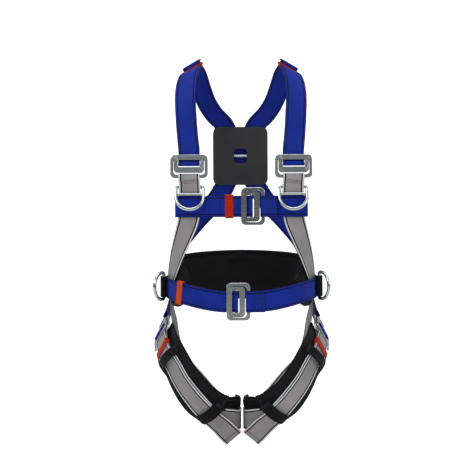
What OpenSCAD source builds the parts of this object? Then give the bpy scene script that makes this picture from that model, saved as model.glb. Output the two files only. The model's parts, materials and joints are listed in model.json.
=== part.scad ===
/* [Webbing] */
// Width of every strap
web_w = 45; // [44:0.5:46]
// Thickness of every strap
web_t = 1.8; // [1.5:0.1:1.9]
// Longest straight facet along a curved strap
web_step = 13; // [9:1:18]

/* [Quick connect buckles] */
// Length of the outer ring across the strap
ring_l = 79; // [76:1:82]
// Length of the inner link across the strap
link_l = 64; // [62:0.5:65]
// Plate thickness of ring and link
plate_t = 3; // [2.6:0.1:3.1]
// Diameter of the round bar the strap turns over
link_bar_d = 4.4; // [4:0.1:4.6]

/* [D-rings] */
// Diameter of the forged bar
ring_d = 7.5; // [7:0.1:7.8]
// Clear width inside the chest and hip rings
ring_clear = 51; // [49:0.5:52]
// Clear width inside the dorsal ring
dorsal_clear = 63.5; // [62:0.5:65]

/* [Keepers] */
// Width of the chest, waist and thigh keepers along the strap
keeper_w = 18; // [16:0.5:19]
// Wall of the elastic keeper bands
keeper_t = 1.5; // [1.2:0.1:1.6]

/* [Pads] */
// Thickness of the waist pad
waist_pad_t = 9; // [8:0.5:10]
// Half height of the waist pad at the sides
waist_pad_h = 49; // [44:1:52]
// Thickness of the thigh pads
thigh_pad_t = 8; // [7:0.5:9]
// Half width of the thigh pads on the front of the leg
thigh_pad_w = 46; // [43:0.5:47]

/* [Dorsal plate] */
// Width of the plate across the back
plate_w = 128; // [127:1:132]
// Height of the plate
plate_h = 136; // [134:1:140]

/* [Hidden] */
LEFT = -1;
RIGHT = 1;
BLUE = [0.11, 0.18, 0.55];
GREY = [0.55, 0.54, 0.56];
BLACK = [0.06, 0.06, 0.07];
STEEL = [0.72, 0.75, 0.74];
RED = [0.68, 0.12, 0.06];
ORANGE = [0.8, 0.27, 0.13];
half_w = web_w / 2;
half_t = web_t / 2;
ring_r = ring_d / 2;
big_step = 60;

// ---- vectors and frames ----
function unit(v) = v / norm(v);
function mix(a, b, t) = a + (b - a) * t;
function sided(p, s) = [s * p[0], p[1], p[2]];
function across(v, t) = v - (v * t) * t;
function frame(o, u, n) =
  let(uu = unit(u), nn = unit(across(n, uu)))
  [o, uu, cross(nn, uu), nn];
function at(f, u, v, n) = f[0] + f[1] * u + f[2] * v + f[3] * n;
module place(f) {
  multmatrix([
    [f[1][0], f[2][0], f[3][0], f[0][0]],
    [f[1][1], f[2][1], f[3][1], f[0][1]],
    [f[1][2], f[2][2], f[3][2], f[0][2]],
    [0, 0, 0, 1]
  ])
    children();
}

// ---- swept bands: each row is [centre, width direction, skew, half width, half thickness] ----
function web_row(p, h, k = 0) = [p, h, k, half_w, half_t];
function gap(rows, i) = norm(rows[i + 1][0] - rows[i][0]);
function dir(rows, i) = (rows[i + 1][0] - rows[i][0]) / gap(rows, i);
function heading(rows, i) =
  let(last = len(rows) - 1)
  i == 0 ? dir(rows, 0) :
  i == last ? dir(rows, last - 1) :
  let(a = gap(rows, i - 1), b = gap(rows, i))
  (dir(rows, i - 1) * b + dir(rows, i) * a) / (a + b);
function aligned(rows) = [
  for (i = 0, h = rows[0][1]; i < len(rows);
       i = i + 1, h = i < len(rows) ? (rows[i][1] * h < 0 ? -rows[i][1] : rows[i][1]) : h)
    [rows[i][0], h, rows[i][2], rows[i][3], rows[i][4]]
];
function curve(p0, p1, m0, m1, t) =
  (2 * t * t * t - 3 * t * t + 1) * p0 + (t * t * t - 2 * t * t + t) * m0
  + (3 * t * t - 2 * t * t * t) * p1 + (t * t * t - t * t) * m1;
function curve_dir(p0, p1, m0, m1, t) =
  unit((6 * t * t - 6 * t) * (p0 - p1) + (3 * t * t - 4 * t + 1) * m0
       + (3 * t * t - 2 * t) * m1);
function section(p, t, h, k, w, th) =
  let(u = unit(h), q = across(u, t), v = (1 - k) * unit(q) + k * u / norm(q))
  [p, v * w, unit(cross(t, v)) * th];
function span(rows, i, step) =
  let(a = rows[i], b = rows[i + 1], g = gap(rows, i),
      m0 = heading(rows, i) * g, m1 = heading(rows, i + 1) * g,
      n = max(1, ceil(g / step)))
  [for (j = [0:n - 1])
    let(t = j / n)
    section(curve(a[0], b[0], m0, m1, t), curve_dir(a[0], b[0], m0, m1, t),
            mix(a[1], b[1], t), mix(a[2], b[2], t), mix(a[3], b[3], t), mix(a[4], b[4], t))];
function sections(rows, step) =
  let(last = len(rows) - 1, z = rows[last])
  concat([for (i = [0:last - 1]) each span(rows, i, step)],
         [section(z[0], dir(rows, last - 1), z[1], z[2], z[3], z[4])]);
WEB_EDGE = [[1, 1], [-1, 1], [-1, -1], [1, -1]];
PAD_EDGE = [
  [1, 0.25], [0.9, 1], [-0.9, 1], [-1, 0.25], [-1, -0.25], [-0.9, -1], [0.9, -1], [1, -0.25]
];
module band(rows, edge, step = web_step) {
  secs = sections(aligned(rows), step);
  m = len(edge);
  n = len(secs);
  pts = [for (s = secs) for (e = edge) s[0] + s[1] * e[0] + s[2] * e[1]];
  // opposite faces split along the same diagonal, so a twisted strap keeps its thickness
  sides = [
    for (i = [0:n - 2]) for (j = [0:m - 1])
      let(a = i * m + j, b = i * m + (j + 1) % m)
      each (j < m / 2
        ? [[a, b + m, b], [a, a + m, b + m]]
        : [[a, a + m, b], [a + m, b + m, b]])
  ];
  start = [for (j = [1:m - 2]) [0, j, j + 1]];
  end = [for (j = [1:m - 2]) [(n - 1) * m, (n - 1) * m + j + 1, (n - 1) * m + j]];
  polyhedron(points = pts, faces = concat(sides, start, end), convexity = 12);
}
module web(rows) {
  band(rows, WEB_EDGE);
}
module pad(rows) {
  band(rows, PAD_EDGE);
}
function run(pn, s) =
  let(last = len(pn) - 1)
  [for (i = [0:last])
    let(p = sided(pn[i][0], s), n = unit(sided(pn[i][1], s)),
        t = sided(pn[min(i + 1, last)][0] - pn[max(i - 1, 0)][0], s))
    web_row(p, cross(n, t))];
function local(f, un) = [for (q = un) web_row(at(f, q[0], 0, q[1]), f[2])];

// ---- buckle stack: heights above the line of the incoming strap ----
ring_n = 2.9;
link_n = 6.4;
main_n = -2.3;
bar_u = -4.5;
ring_half = 25;
ring_rim = 7.5;
ring_end = 6.5;
link_far = 23;
link_near = 14;
link_slot = [-13.4, 1.8];
wrap_r = link_bar_d / 2 + half_t + 0.4;
// strap path through the link, from the loose tail round the bar to the loaded strap
TAIL_IN = [[-30, -0.2], [-20, -0.2], [-16.6, 0.1], [-13, 1.8]];
BAR_TURN = [for (a = [195:-30:-15]) [bar_u + wrap_r * cos(a), link_n + wrap_r * sin(a)]];
LOAD_OUT = [[-2.2, 2], [-6, -1.4], [-12, main_n], [-20, main_n], [-34, main_n]];
LINK_PATH = concat(TAIL_IN, BAR_TURN, LOAD_OUT);
// strap path round the free bar of the ring, from the outer layer to the inner layer
RING_PATH = [[30, 4.7], [25, 5.8], [18.2, 5.8], [16.2, 5], [16, 2.9], [16.2, 0.9],
             [18.2, 0.05], [24, 0.05], [32, 0.05]];

// ---- where the buckles sit ----
SHOULDER_AT = [110, -124, 262];
SHOULDER_U = [0, -0.1, -1];
SHOULDER_N = [0, -1, 0.1];
CHEST_AT = [24, -131, 178];
WAIST_AT = [-7.6, -132, -22];
THIGH_AT = [174, -8, -103];
THIGH_U = [-0.05, -0.88, -0.47];
THIGH_N = [0.9, -0.24, 0.36];
function shoulder_frame(s) =
  frame(sided(SHOULDER_AT, s), sided(SHOULDER_U, s), sided(SHOULDER_N, s));
function thigh_frame(s) = frame(sided(THIGH_AT, s), sided(THIGH_U, s), sided(THIGH_N, s));
chest_frame = frame(CHEST_AT, [1, 0, 0], [0, -1, 0]);
waist_frame = frame(WAIST_AT, [1, 0, 0], [0, -1, 0]);

// ---- dorsal crossing ----
cross_z = 298;
plate_face = 122;
dorsal_bar_y = plate_face + 0.45 + ring_r;
cross_slope = 0.53;
cross_low = plate_face + 2.2;
cross_high = dorsal_bar_y + ring_r + half_t + 0.6;
layer_gap = 2.6;
slot_dz = 56;

// ---- own frame: the origin is the middle of the dorsal ring's eye ----
dorsal_tilt = 50;
dorsal_eye = 22;
ORIGIN = [
  0,
  dorsal_bar_y + dorsal_eye * sin(dorsal_tilt),
  cross_z - dorsal_eye * cos(dorsal_tilt)
];
module own() {
  translate(-ORIGIN)
    children();
}

// ---- shoulder strap ----
// over the shoulder, from just above the chest buckle to the upper slot of the plate
OVER_SHOULDER = [
  [[113, -108.5, 322], [0.02, -0.97, 0.24]],
  [[117, -96, 372], [0.04, -0.94, 0.36]],
  [[119, -76, 418], [0.08, -0.82, 0.56]],
  [[115, -44, 459], [0.28, -0.6, 0.75]],
  [[106, -4, 482], [0.48, -0.06, 0.87]],
  [[97, 36, 474], [0.44, 0.36, 0.82]],
  [[88, 70, 447], [0.28, 0.68, 0.67]],
  [[77, 93, 419], [0.16, 0.84, 0.52]],
  [[60, 113, 394], [0.08, 0.92, 0.38]]
];
// from the lower slot of the plate round the flank, under the waist belt, to the thigh buckle
ROUND_FLANK = [
  [[62, 122, 190], [0.2, 0.97, 0.1]],
  [[104, 110, 142], [0.5, 0.85, 0.1]],
  [[135, 86, 98], [0.76, 0.64, 0.05]],
  [[149, 60, 50], [0.9, 0.42, 0]],
  [[151.4, 47.8, 6], [0.93, 0.36, 0]],
  [[154.4, 44, -26], [0.94, 0.32, 0.08]],
  [[163.5, 46, -54], [0.94, 0.26, 0.2]]
];
crest = 4;
function cross_row(s, dz, y) =
  web_row([-s * cross_slope * dz, y, cross_z + dz], [1, 0, 0], 1);
function crossing(s, up) = [
  cross_row(-s, 74, cross_low - 0.4),
  cross_row(-s, 64, cross_low),
  cross_row(-s, 54, cross_low),
  cross_row(-s, 46, cross_low + up),
  cross_row(-s, 14, cross_high + up),
  cross_row(-s, 0, cross_high + 0.4 + up),
  cross_row(-s, -14, cross_high + up),
  cross_row(-s, -46, cross_low + up),
  cross_row(-s, -54, cross_low),
  cross_row(-s, -64, cross_low),
  cross_row(-s, -74, cross_low - 0.4)
];
function lifted(pn, d) = [for (q = pn) [q[0] + unit(q[1]) * d, q[1]]];
function crest_frame(s) =
  let(q = OVER_SHOULDER[crest], t = OVER_SHOULDER[crest + 1][0] - OVER_SHOULDER[crest - 1][0])
  frame(sided(q[0], s), sided(t, s), sided(q[1], s));
tail_lift = 2.5;
// folded stop at the loose end, standing on the strap just behind the crest
STOP_FOLD = [
  [26, 13.4], [13, 14.2], [10.4, 13], [9.7, 10.8], [10.4, 8.4], [13, 7], [24, 6.4],
  [26, 5.6], [26.5, 4.7], [26, 3.8], [24, 3.2], [14, 2.9], [7, 2.6]
];
function tail_over(s) =
  let(front = [for (i = [crest:-1:0]) OVER_SHOULDER[i]])
  run(lifted(front, tail_lift), s);
function shoulder_rows(s, up) =
  concat(
    local(crest_frame(s), STOP_FOLD),
    tail_over(s),
    local(shoulder_frame(s), LINK_PATH),
    run(OVER_SHOULDER, s),
    crossing(s, up),
    run(ROUND_FLANK, -s),
    local(thigh_frame(-s), [for (i = [len(LINK_PATH) - 1:-1:0]) LINK_PATH[i]]),
    local(thigh_frame(-s), [[-44, 0], [-58, 0.2]])
  );
module shoulder_strap(s, up) {
  color(BLUE) web(shoulder_rows(s, up));
}

// ---- lower chest web: ring of the shoulder buckle, chest D-ring, hip ----
CHEST_WEB = [
  [[109, -118, 194], [0, -1, 0]],
  [[109.6, -117.7, 172], [0, -1, 0]],
  [[112, -117.4, 152], [0.03, -1, 0]],
  [[123.5, -104.5, 118], [0.42, -0.9, 0.05]],
  [[138, -80, 80], [0.7, -0.71, 0.02]],
  [[149.5, -51, 44], [0.87, -0.49, 0]],
  [[157, -27, 16], [0.96, -0.28, 0]],
  [[160.5, -9, -10], [0.99, -0.12, 0]]
];
dring_top = 220;
dring_slot = 17;
chest_side_u = 21.5;
dring_hang = 19;
function chest_web_rows(s) =
  let(f = shoulder_frame(s))
  concat(
    local(f, [[34, -1], [30, -0.7]]),
    local(f, [for (i = [len(RING_PATH) - 2:-1:1]) RING_PATH[i]]),
    [
      web_row(sided([109, -129.4, 226], s), [1, 0, 0]),
      web_row(sided([108.8, -127.8, 219], s), [1, 0, 0]),
      web_row(sided([108.7, -124.6, 210.5], s), [1, 0, 0]),
      web_row(sided([108.8, -120.7, 202.5], s), [1, 0, 0])
    ],
    run(CHEST_WEB, s)
  );
module chest_web(s) {
  color(GREY) web(chest_web_rows(s));
}

// ---- chest strap ----
CHEST_SIDE = [[64, -127.6], [76, -123.4], [88, -122.8], [104, -122.7], [122, -122.7]];
loop_c = [134.6, -117.7];
loop_r = 5;
function chest_side(s, pts) =
  [for (q = pts) web_row([s * q[0], q[1], CHEST_AT[2]], [0, 0, 1])];
function loop_turn() =
  [for (a = [-90:30:90]) [loop_c[0] + loop_r * cos(a), loop_c[1] + loop_r * sin(a)]];
LOOP_BACK = [[122, -112.7], [100, -112.7], [84, -113.6], [72, -119.6], [62, -124]];
module chest_strap_left() {
  f = chest_frame;
  tail_end = [[-68, 0], [-44, 0]];
  meet = [-52 - CHEST_AT[0], main_n];
  rows = concat(
    local(f, tail_end), local(f, LINK_PATH), local(f, [meet]),
    chest_side(LEFT, concat(CHEST_SIDE, loop_turn(), LOOP_BACK))
  );
  color(BLUE) web(rows);
}
module chest_strap_right() {
  f = chest_frame;
  rows = concat(
    local(f, [[50, 2.3], [38, 2.6]]), local(f, RING_PATH),
    chest_side(RIGHT, concat(CHEST_SIDE, loop_turn(), LOOP_BACK))
  );
  color(BLUE) web(rows);
}

// ---- waist belt and pad ----
BELT_SIDE = [
  [62, -130.4, -19], [100, -118, -12], [130, -96, -5.5], [150, -67, -2],
  [162, -35, 0.5], [167, 0, 2], [163, 36, 4], [148, 70, 6.5], [118, 98, 9],
  [72, 117, 11], [0, 125, 12]
];
side_n = len(BELT_SIDE);
BELT_LINE = concat(BELT_SIDE, [for (i = [side_n - 2:-1:0]) sided(BELT_SIDE[i], LEFT)]);
belt_last = len(BELT_LINE) - 1;
function belt_dir(i) =
  unit(BELT_LINE[min(i + 1, belt_last)] - BELT_LINE[max(i - 1, 0)]);
function belt_out(i) = let(t = belt_dir(i)) unit([t[1], -t[0], 0]);
function belt_at(i, d) = BELT_LINE[i] + belt_out(i) * d;
function belt_between(i, t, d) =
  mix(BELT_LINE[i], BELT_LINE[i + 1], t) + unit(mix(belt_out(i), belt_out(i + 1), t)) * d;
function belt_frame(i, d) = frame(belt_at(i, d), belt_dir(i), belt_out(i));
waist_tail = 2.5;
i_keeper = belt_last - 2;
// the loose end stops part of the way past the keeper
i_tail = belt_last - 3;
tail_stop = 0.35;
module waist_belt() {
  f = waist_frame;
  up = [0, 0, 1];
  rows = concat(
    local(f, [[56, 2.3], [42, 2.5]]), local(f, RING_PATH),
    [for (i = [0:belt_last]) web_row(BELT_LINE[i], up)],
    local(f, [for (i = [len(LINK_PATH) - 1:-1:0]) LINK_PATH[i]]),
    [
      web_row(belt_at(belt_last, waist_tail), up),
      web_row(belt_at(belt_last - 1, waist_tail), up),
      web_row(belt_at(i_keeper, waist_tail), up),
      web_row(belt_between(i_tail, tail_stop, waist_tail), up)
    ]
  );
  color(BLUE) web(rows);
}
pad_inset = 12 + waist_pad_t / 2;
pad_rise = 10;
// the pad is higher at the middle of the back and tapers to its two front ends
pad_back = 56;
pad_end = 24;
pad_near_end = 38;
function pad_row(p, hh) = [p + [0, 0, pad_rise], [0, 0, 1], 0, hh, waist_pad_t / 2];
function pad_hh(i) =
  let(k = min(i, belt_last - i)) k < 4 ? waist_pad_h - 2 : mix(waist_pad_h, pad_back, (k - 4) / 6);
module waist_pad() {
  first = 3;
  last = belt_last - first;
  rows = concat(
    [pad_row(belt_between(1, 0.86, -pad_inset), pad_end),
     pad_row(belt_between(2, 0.1, -pad_inset), pad_near_end)],
    [for (i = [first:last]) pad_row(belt_at(i, -pad_inset), pad_hh(i))],
    [pad_row(belt_between(last, 0.9, -pad_inset), pad_near_end),
     pad_row(belt_between(last + 1, 0.14, -pad_inset), pad_end)]
  );
  color(BLACK) pad(rows);
}
// black loops that hold the belt on the pad, behind the hips and at the back
loop_w = 26;
loop_wall = 1.2;
loop_clear = 1.5;
LOOP_AT = [8, 9, 11, 12];
module belt_loops() {
  color(BLACK)
    for (i = LOOP_AT)
      place(belt_frame(i, 0))
        keeper_band(loop_w, -half_t, half_t, loop_clear, loop_wall);
}

// ---- leg strap ----
LEG_REAR = [
  [[152.6, -31, 22], [0.96, -0.3, 0]],
  [[156.2, -14, -6], [0.99, -0.14, 0]],
  [[156.2, -3, -36], [0.99, -0.02, 0.06]],
  [[149.5, 14, -82], [0.98, 0.12, 0.06]],
  [[146, 37, -130], [0.92, 0.34, -0.1]],
  [[136, 68, -176], [0.74, 0.62, -0.25]],
  [[106, 88, -216], [0.42, 0.8, -0.42]],
  [[74, 84, -254], [0.1, 0.78, -0.62]],
  [[46, 70, -281], [-0.35, 0.75, -0.55]],
  [[20, 44, -294], [-0.75, 0.6, -0.28]]
];
// between the legs and up to the front of the pad
LEG_CROTCH = [
  [[5, 12, -292], [-0.98, 0.2, -0.05]],
  [[3.2, -18, -289], [-1, 0, 0]],
  [[8, -46, -287], [-0.85, -0.5, -0.15]],
  [[24, -66, -281], [-0.55, -0.78, -0.3]],
  [[46, -84, -273], [-0.3, -0.85, -0.43]]
];
// the loose tail lies on the strap down the pad and hangs free below its lower sleeve
LEG_FRONT = [
  [[18.5, -50, -326], [-0.5, -0.6, -0.6]],
  [[30, -66, -312], [-0.4, -0.74, -0.54]],
  [[45, -79, -294], [-0.2, -0.84, -0.5]],
  [[74, -99, -265], [0.12, -0.88, -0.46]],
  [[103, -106, -232], [0.34, -0.85, -0.4]],
  [[130, -102, -196], [0.54, -0.79, -0.28]],
  [[151.5, -86, -160], [0.74, -0.66, -0.08]]
];
// the strap leaves the thigh buckle straight, then bends round the leg
bend_u = 42;
bend_r = 75;
fold_lift = 2.6;
function thigh_bend(u, lift) =
  let(a = max(0, u - bend_u) / bend_r * 180 / PI)
  [min(u, bend_u) + (bend_r + lift) * sin(a), (bend_r + lift) * cos(a) - bend_r];
// a layer under the tail follows it, a little higher up the leg
UNDER_TAIL = [3, 4, 5, 6];
layer_under = 2.4;
layer_shift = 4;
function under_tail(j, depth, shift, s) =
  let(q = LEG_FRONT[j], n = unit(sided(q[1], s)),
      t = sided(LEG_FRONT[max(j - 1, 0)][0] - LEG_FRONT[min(j + 1, 6)][0], s),
      w = unit(cross(n, t)), up = w[2] > 0 ? w : -w)
  [sided(q[0], s) - n * depth + up * shift, w];
function under_web(j, s) =
  let(q = under_tail(j, layer_under, layer_shift, s)) web_row(q[0], q[1]);
function leg_rows(s) =
  let(f = thigh_frame(s), tail = run(LEG_FRONT, s))
  concat(
    run(concat(LEG_REAR, LEG_CROTCH), s),
    [for (j = UNDER_TAIL) under_web(j, s)],
    local(f, [for (u = [70, 62, 54, 46]) thigh_bend(u, 0)]),
    local(f, [for (i = [len(RING_PATH) - 1:-1:0]) RING_PATH[i]]),
    local(f, [for (u = [46, 54, 62, 70]) thigh_bend(u, fold_lift)]),
    [for (i = [len(tail) - 1:-1:0]) tail[i]]
  );
module leg_strap(s) {
  color(GREY) web(leg_rows(s));
}

// ---- thigh pad ----
pad_drop = thigh_pad_t / 2;
THIGH_PAD = [
  [[66.3, -91.8, -251.2], [0.1, -0.88, -0.46], 0.95],
  [[42.6, -71, -264.5], [-0.24, -0.89, -0.36], 0.92],
  [[20.5, -52, -252], [-0.65, -0.72, -0.25], 0.4],
  [[9, -40, -251], [-0.86, -0.5, -0.06], 0.28],
  [[5.8, -8, -254.5], [-1, 0, 0], 0.24],
  [[6.8, 22, -257], [-0.98, 0.12, 0], 0.24],
  [[14, 46, -258], [-0.85, 0.45, -0.1], 0.22]
];
// under the leg strap the pad follows it
UNDER_STRAP = [6, 5, 4];
pad_under = 9.6;
function pad_under_row(j, s) =
  let(q = under_tail(j, pad_under, layer_shift, s)) [q[0], q[1], 0, thigh_pad_w, thigh_pad_t / 2];
function pad_run(pnw, s) =
  let(last = len(pnw) - 1)
  [for (i = [0:last])
    let(p = sided(pnw[i][0], s), n = unit(sided(pnw[i][1], s)),
        t = sided(pnw[min(i + 1, last)][0] - pnw[max(i - 1, 0)][0], s))
    [p, cross(n, t), 0, pnw[i][2] * thigh_pad_w, thigh_pad_t / 2]];
// behind the thigh buckle: distance along the buckle and half width
PAD_TOP = [[-6, 30], [14, 40], [44, thigh_pad_w]];
behind_buckle = 4.6;
module thigh_pad(s) {
  f = thigh_frame(s);
  top = [for (q = PAD_TOP)
    [at(f, q[0], 0, -behind_buckle - pad_drop), f[2], 0, q[1], thigh_pad_t / 2]];
  color(BLACK)
    pad(concat(top, [for (j = UNDER_STRAP) pad_under_row(j, s)], pad_run(THIGH_PAD, s)));
}
// flat sleeves sewn across the pad that hold the leg strap and its tail
tunnel_w = 27;
tunnel_t = 1.2;
tunnel_at = 3;
TUNNEL = [[-27.5, -2.4], [-26, 0], [-22.5, 2.6], [22.5, 2.6], [26, 0.1], [30, -1.4], [40, -1.6]];
module sleeve(f, path, w) {
  up = f[2][2] > 0 ? 1 : -1;
  rows = [for (c = path) [at(f, 0, up * c[0], c[1]), f[1], 0, w / 2, tunnel_t / 2]];
  color(BLACK) band(rows, WEB_EDGE, big_step);
}
module thigh_tunnel(s) {
  q = LEG_FRONT[tunnel_at];
  t = LEG_FRONT[tunnel_at + 1][0] - LEG_FRONT[tunnel_at - 1][0];
  sleeve(frame(sided(q[0], s), sided(t, s), sided(q[1], s)), TUNNEL, tunnel_w);
}
// upper sleeve, between the keeper of the thigh buckle and the start of the bare webbing
sleeve_w = 22;
sleeve_share = 0.55;
SLEEVE = [[-29.5, -2], [-27, 1], [-23.5, 5.2], [23.5, 5.2], [27, 2.4], [31, -1.2], [41, -1.6]];
module thigh_sleeve(s) {
  f = thigh_frame(s);
  end = thigh_bend(70, 0);
  a = at(f, end[0], 0, end[1]);
  q = LEG_FRONT[len(LEG_FRONT) - 1];
  b = sided(q[0], s);
  n = f[3] + sided(q[1], s);
  sleeve(frame(mix(a, b, sleeve_share), b - a, n), SLEEVE, sleeve_w);
}

// ---- metal parts, drawn in their own flat frames ----
module rounded(l, w, r) {
  square([l - 2 * r, w], center = true);
  square([l, w - 2 * r], center = true);
  for (x = [-1, 1])
    for (y = [-1, 1])
      translate([x * (l / 2 - r), y * (w / 2 - r)])
        circle(r, $fn = 48);
}
module flat_ring(size_u, size_v, hole_u, hole_v, r_out, r_in) {
  linear_extrude(plate_t, center = true)
    difference() {
      rounded(size_u, size_v, r_out);
      rounded(hole_u, hole_v, r_in);
    }
}
module buckle_ring(f) {
  color(STEEL)
    place(f)
      translate([0, 0, ring_n])
        flat_ring(2 * ring_half, ring_l, 2 * (ring_half - ring_rim), ring_l - 2 * ring_end, 10, 8);
}
module buckle_link(f) {
  mid = (link_near - link_far) / 2;
  slot_mid = (link_slot[0] + link_slot[1]) / 2;
  color(STEEL)
    place(f)
      translate([0, 0, link_n]) {
        linear_extrude(plate_t, center = true)
          difference() {
            translate([mid, 0])
              rounded(link_near + link_far, link_l, 8);
            translate([slot_mid, 0])
              rounded(link_slot[1] - link_slot[0], web_w + 1.6, 3);
          }
        translate([bar_u, -half_w - 2.5, 0])
          rotate([-90, 0, 0])
            cylinder(d = link_bar_d, h = web_w + 5, $fn = 48);
      }
}
// D-ring in its own plane: straight bar at the origin along v, eye hanging towards +u
module d_ring(hw, side, corner) {
  for (s = [-1, 1]) {
    translate([corner, s * (hw - corner), 0])
      rotate([0, 0, s > 0 ? 90 : 180])
        rotate_extrude(angle = 90, $fn = 72)
          translate([corner, 0])
            circle(ring_r, $fn = 36);
    translate([corner, s * hw, 0])
      rotate([0, 90, 0])
        cylinder(r = ring_r, h = side - corner, $fn = 36);
  }
  translate([0, -(hw - corner), 0])
    rotate([-90, 0, 0])
      cylinder(r = ring_r, h = 2 * (hw - corner), $fn = 36);
  translate([side, 0, 0])
    rotate([0, 0, -90])
      rotate_extrude(angle = 180, $fn = 96)
        translate([hw, 0])
          circle(ring_r, $fn = 36);
}
ring_hw = ring_clear / 2 + ring_r;
dorsal_hw = dorsal_clear / 2 + ring_r;
function chest_dring_frame(s) =
  frame(sided([108.8, -127 + half_t + ring_r + 0.5, dring_top], s),
        [0, -sin(dring_hang), -cos(dring_hang)], [0, -1, 0]);
chest_corner = 8;
slot_bar = 3.2;
module chest_dring(s) {
  color(STEEL)
    place(chest_dring_frame(s)) {
      d_ring(ring_hw, chest_side_u, chest_corner);
      translate([dring_slot, -ring_hw, 0])
        rotate([-90, 0, 0])
          cylinder(r = slot_bar, h = 2 * ring_hw, $fn = 36);
    }
}
// hip ring: vertical bar on the outside of the belt
i_hip = 4;
hip_side = 7;
hip_corner = 6;
hip_tab_base = 2.7;
hip_tab_r = ring_r + half_t + 0.9;
hip_bar_out = hip_tab_base + hip_tab_r;
hip_ring_z = 5;
HIP_HANG = [0.5, -0.87, 0];
function hip_bar(s) =
  sided(belt_at(i_hip, hip_bar_out), s) + [0, 0, hip_ring_z];
function hip_frame(s) = frame(hip_bar(s), sided(HIP_HANG, s), cross(sided(HIP_HANG, s), [0, 0, 1]));
module hip_dring(s) {
  color(STEEL)
    place(hip_frame(s))
      d_ring(ring_hw, hip_side, hip_corner);
}
// strap loop that carries the hip ring: under the bar, round its front, back to the pad
module hip_ring_tab(s) {
  c = belt_frame(i_hip, hip_bar_out);
  r = hip_tab_r;
  base = -r;
  turn = [for (a = [-90:-30:-270]) [r * cos(a), r * sin(a)]];
  path = concat([[44, base - 3.2], [30, base - 1.5], [14, base - 0.2]], turn,
                [[10, r - 0.6], [24, base + 2.6], [34, base + 0.9], [44, base - 0.6]]);
  f = frame(sided(c[0], s) + [0, 0, hip_ring_z - 2], sided(c[1], s), sided(c[3], s));
  color(BLACK) web([for (q = path) web_row(at(f, q[0], 0, q[1]), [0, 0, 1])]);
}
dorsal_side = 10;
dorsal_corner = 7;
module dorsal_dring() {
  f = frame([0, dorsal_bar_y, cross_z], [0, sin(dorsal_tilt), -cos(dorsal_tilt)], [0, 1, 0]);
  color(STEEL)
    place(f)
      d_ring(dorsal_hw, dorsal_side, dorsal_corner);
}
// dorsal plate: flat plate with two raised bars that make four strap slots
module dorsal_plate() {
  t = 3;
  bar_w = 9;
  bar_lift = 4;
  bar_t = 2.6;
  post = 3;
  f = frame([0, plate_face, cross_z], [0, 0, -1], [0, 1, 0]);
  color(BLACK)
    place(f) {
      translate([0, 0, -t])
        linear_extrude(t)
          difference() {
            rounded(plate_h, plate_w, 16);
            rounded(34, 30, 8);
          }
      for (d = [-slot_dz - 2, slot_dz + 2]) {
        translate([d, 0, bar_lift + bar_t / 2])
          cube([bar_w, plate_w - 4, bar_t], center = true);
        for (v = [-plate_w / 2 + 2 + post / 2, 0, plate_w / 2 - 2 - post / 2])
          translate([d, v, (bar_lift + 0.4) / 2 - 0.2])
            cube([bar_w, post, bar_lift + 0.6], center = true);
      }
    }
}

// ---- keepers ----
module keeper_band(w, lo, hi, clear, wall) {
  inner_n = hi - lo + 2 * clear;
  inner_v = web_w + 2 * clear;
  translate([-w / 2, 0, (lo + hi) / 2])
    rotate([90, 0, 90])
      linear_extrude(w)
        difference() {
          rounded(inner_v + 2 * wall, inner_n + 2 * wall, wall + 0.6);
          rounded(inner_v, inner_n, 0.6);
        }
}
module keeper(f, w, lo, hi) {
  place(f)
    keeper_band(w, lo, hi, keeper_gap, keeper_t);
}
keeper_gap = 1.2;
chest_keeper_u = -50;
thigh_keeper_u = 57;
crest_keeper_w = 8;
module chest_keeper() {
  f = chest_frame;
  color(RED)
    keeper([at(f, chest_keeper_u, 0, 0), f[1], f[2], f[3]], keeper_w, main_n - half_t, half_t);
}
module waist_keeper() {
  color(ORANGE) keeper(belt_frame(i_keeper, 0), keeper_w, -half_t, waist_tail + half_t);
}
module shoulder_keeper(s) {
  color(RED) keeper(crest_frame(s), crest_keeper_w, -half_t, tail_lift + half_t);
}
module thigh_keeper(s) {
  f = thigh_frame(s);
  q = thigh_bend(thigh_keeper_u, 0);
  a = (thigh_keeper_u - bend_u) / bend_r * 180 / PI;
  u = f[1] * cos(a) - f[3] * sin(a);
  n = f[1] * sin(a) + f[3] * cos(a);
  color(RED)
    keeper([at(f, q[0], 0, q[1]), u, f[2], n], keeper_w, -half_t, fold_lift + half_t);
}

module shoulder_strap_left() { shoulder_strap(LEFT, 0); }
module shoulder_strap_right() { shoulder_strap(RIGHT, layer_gap); }

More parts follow.
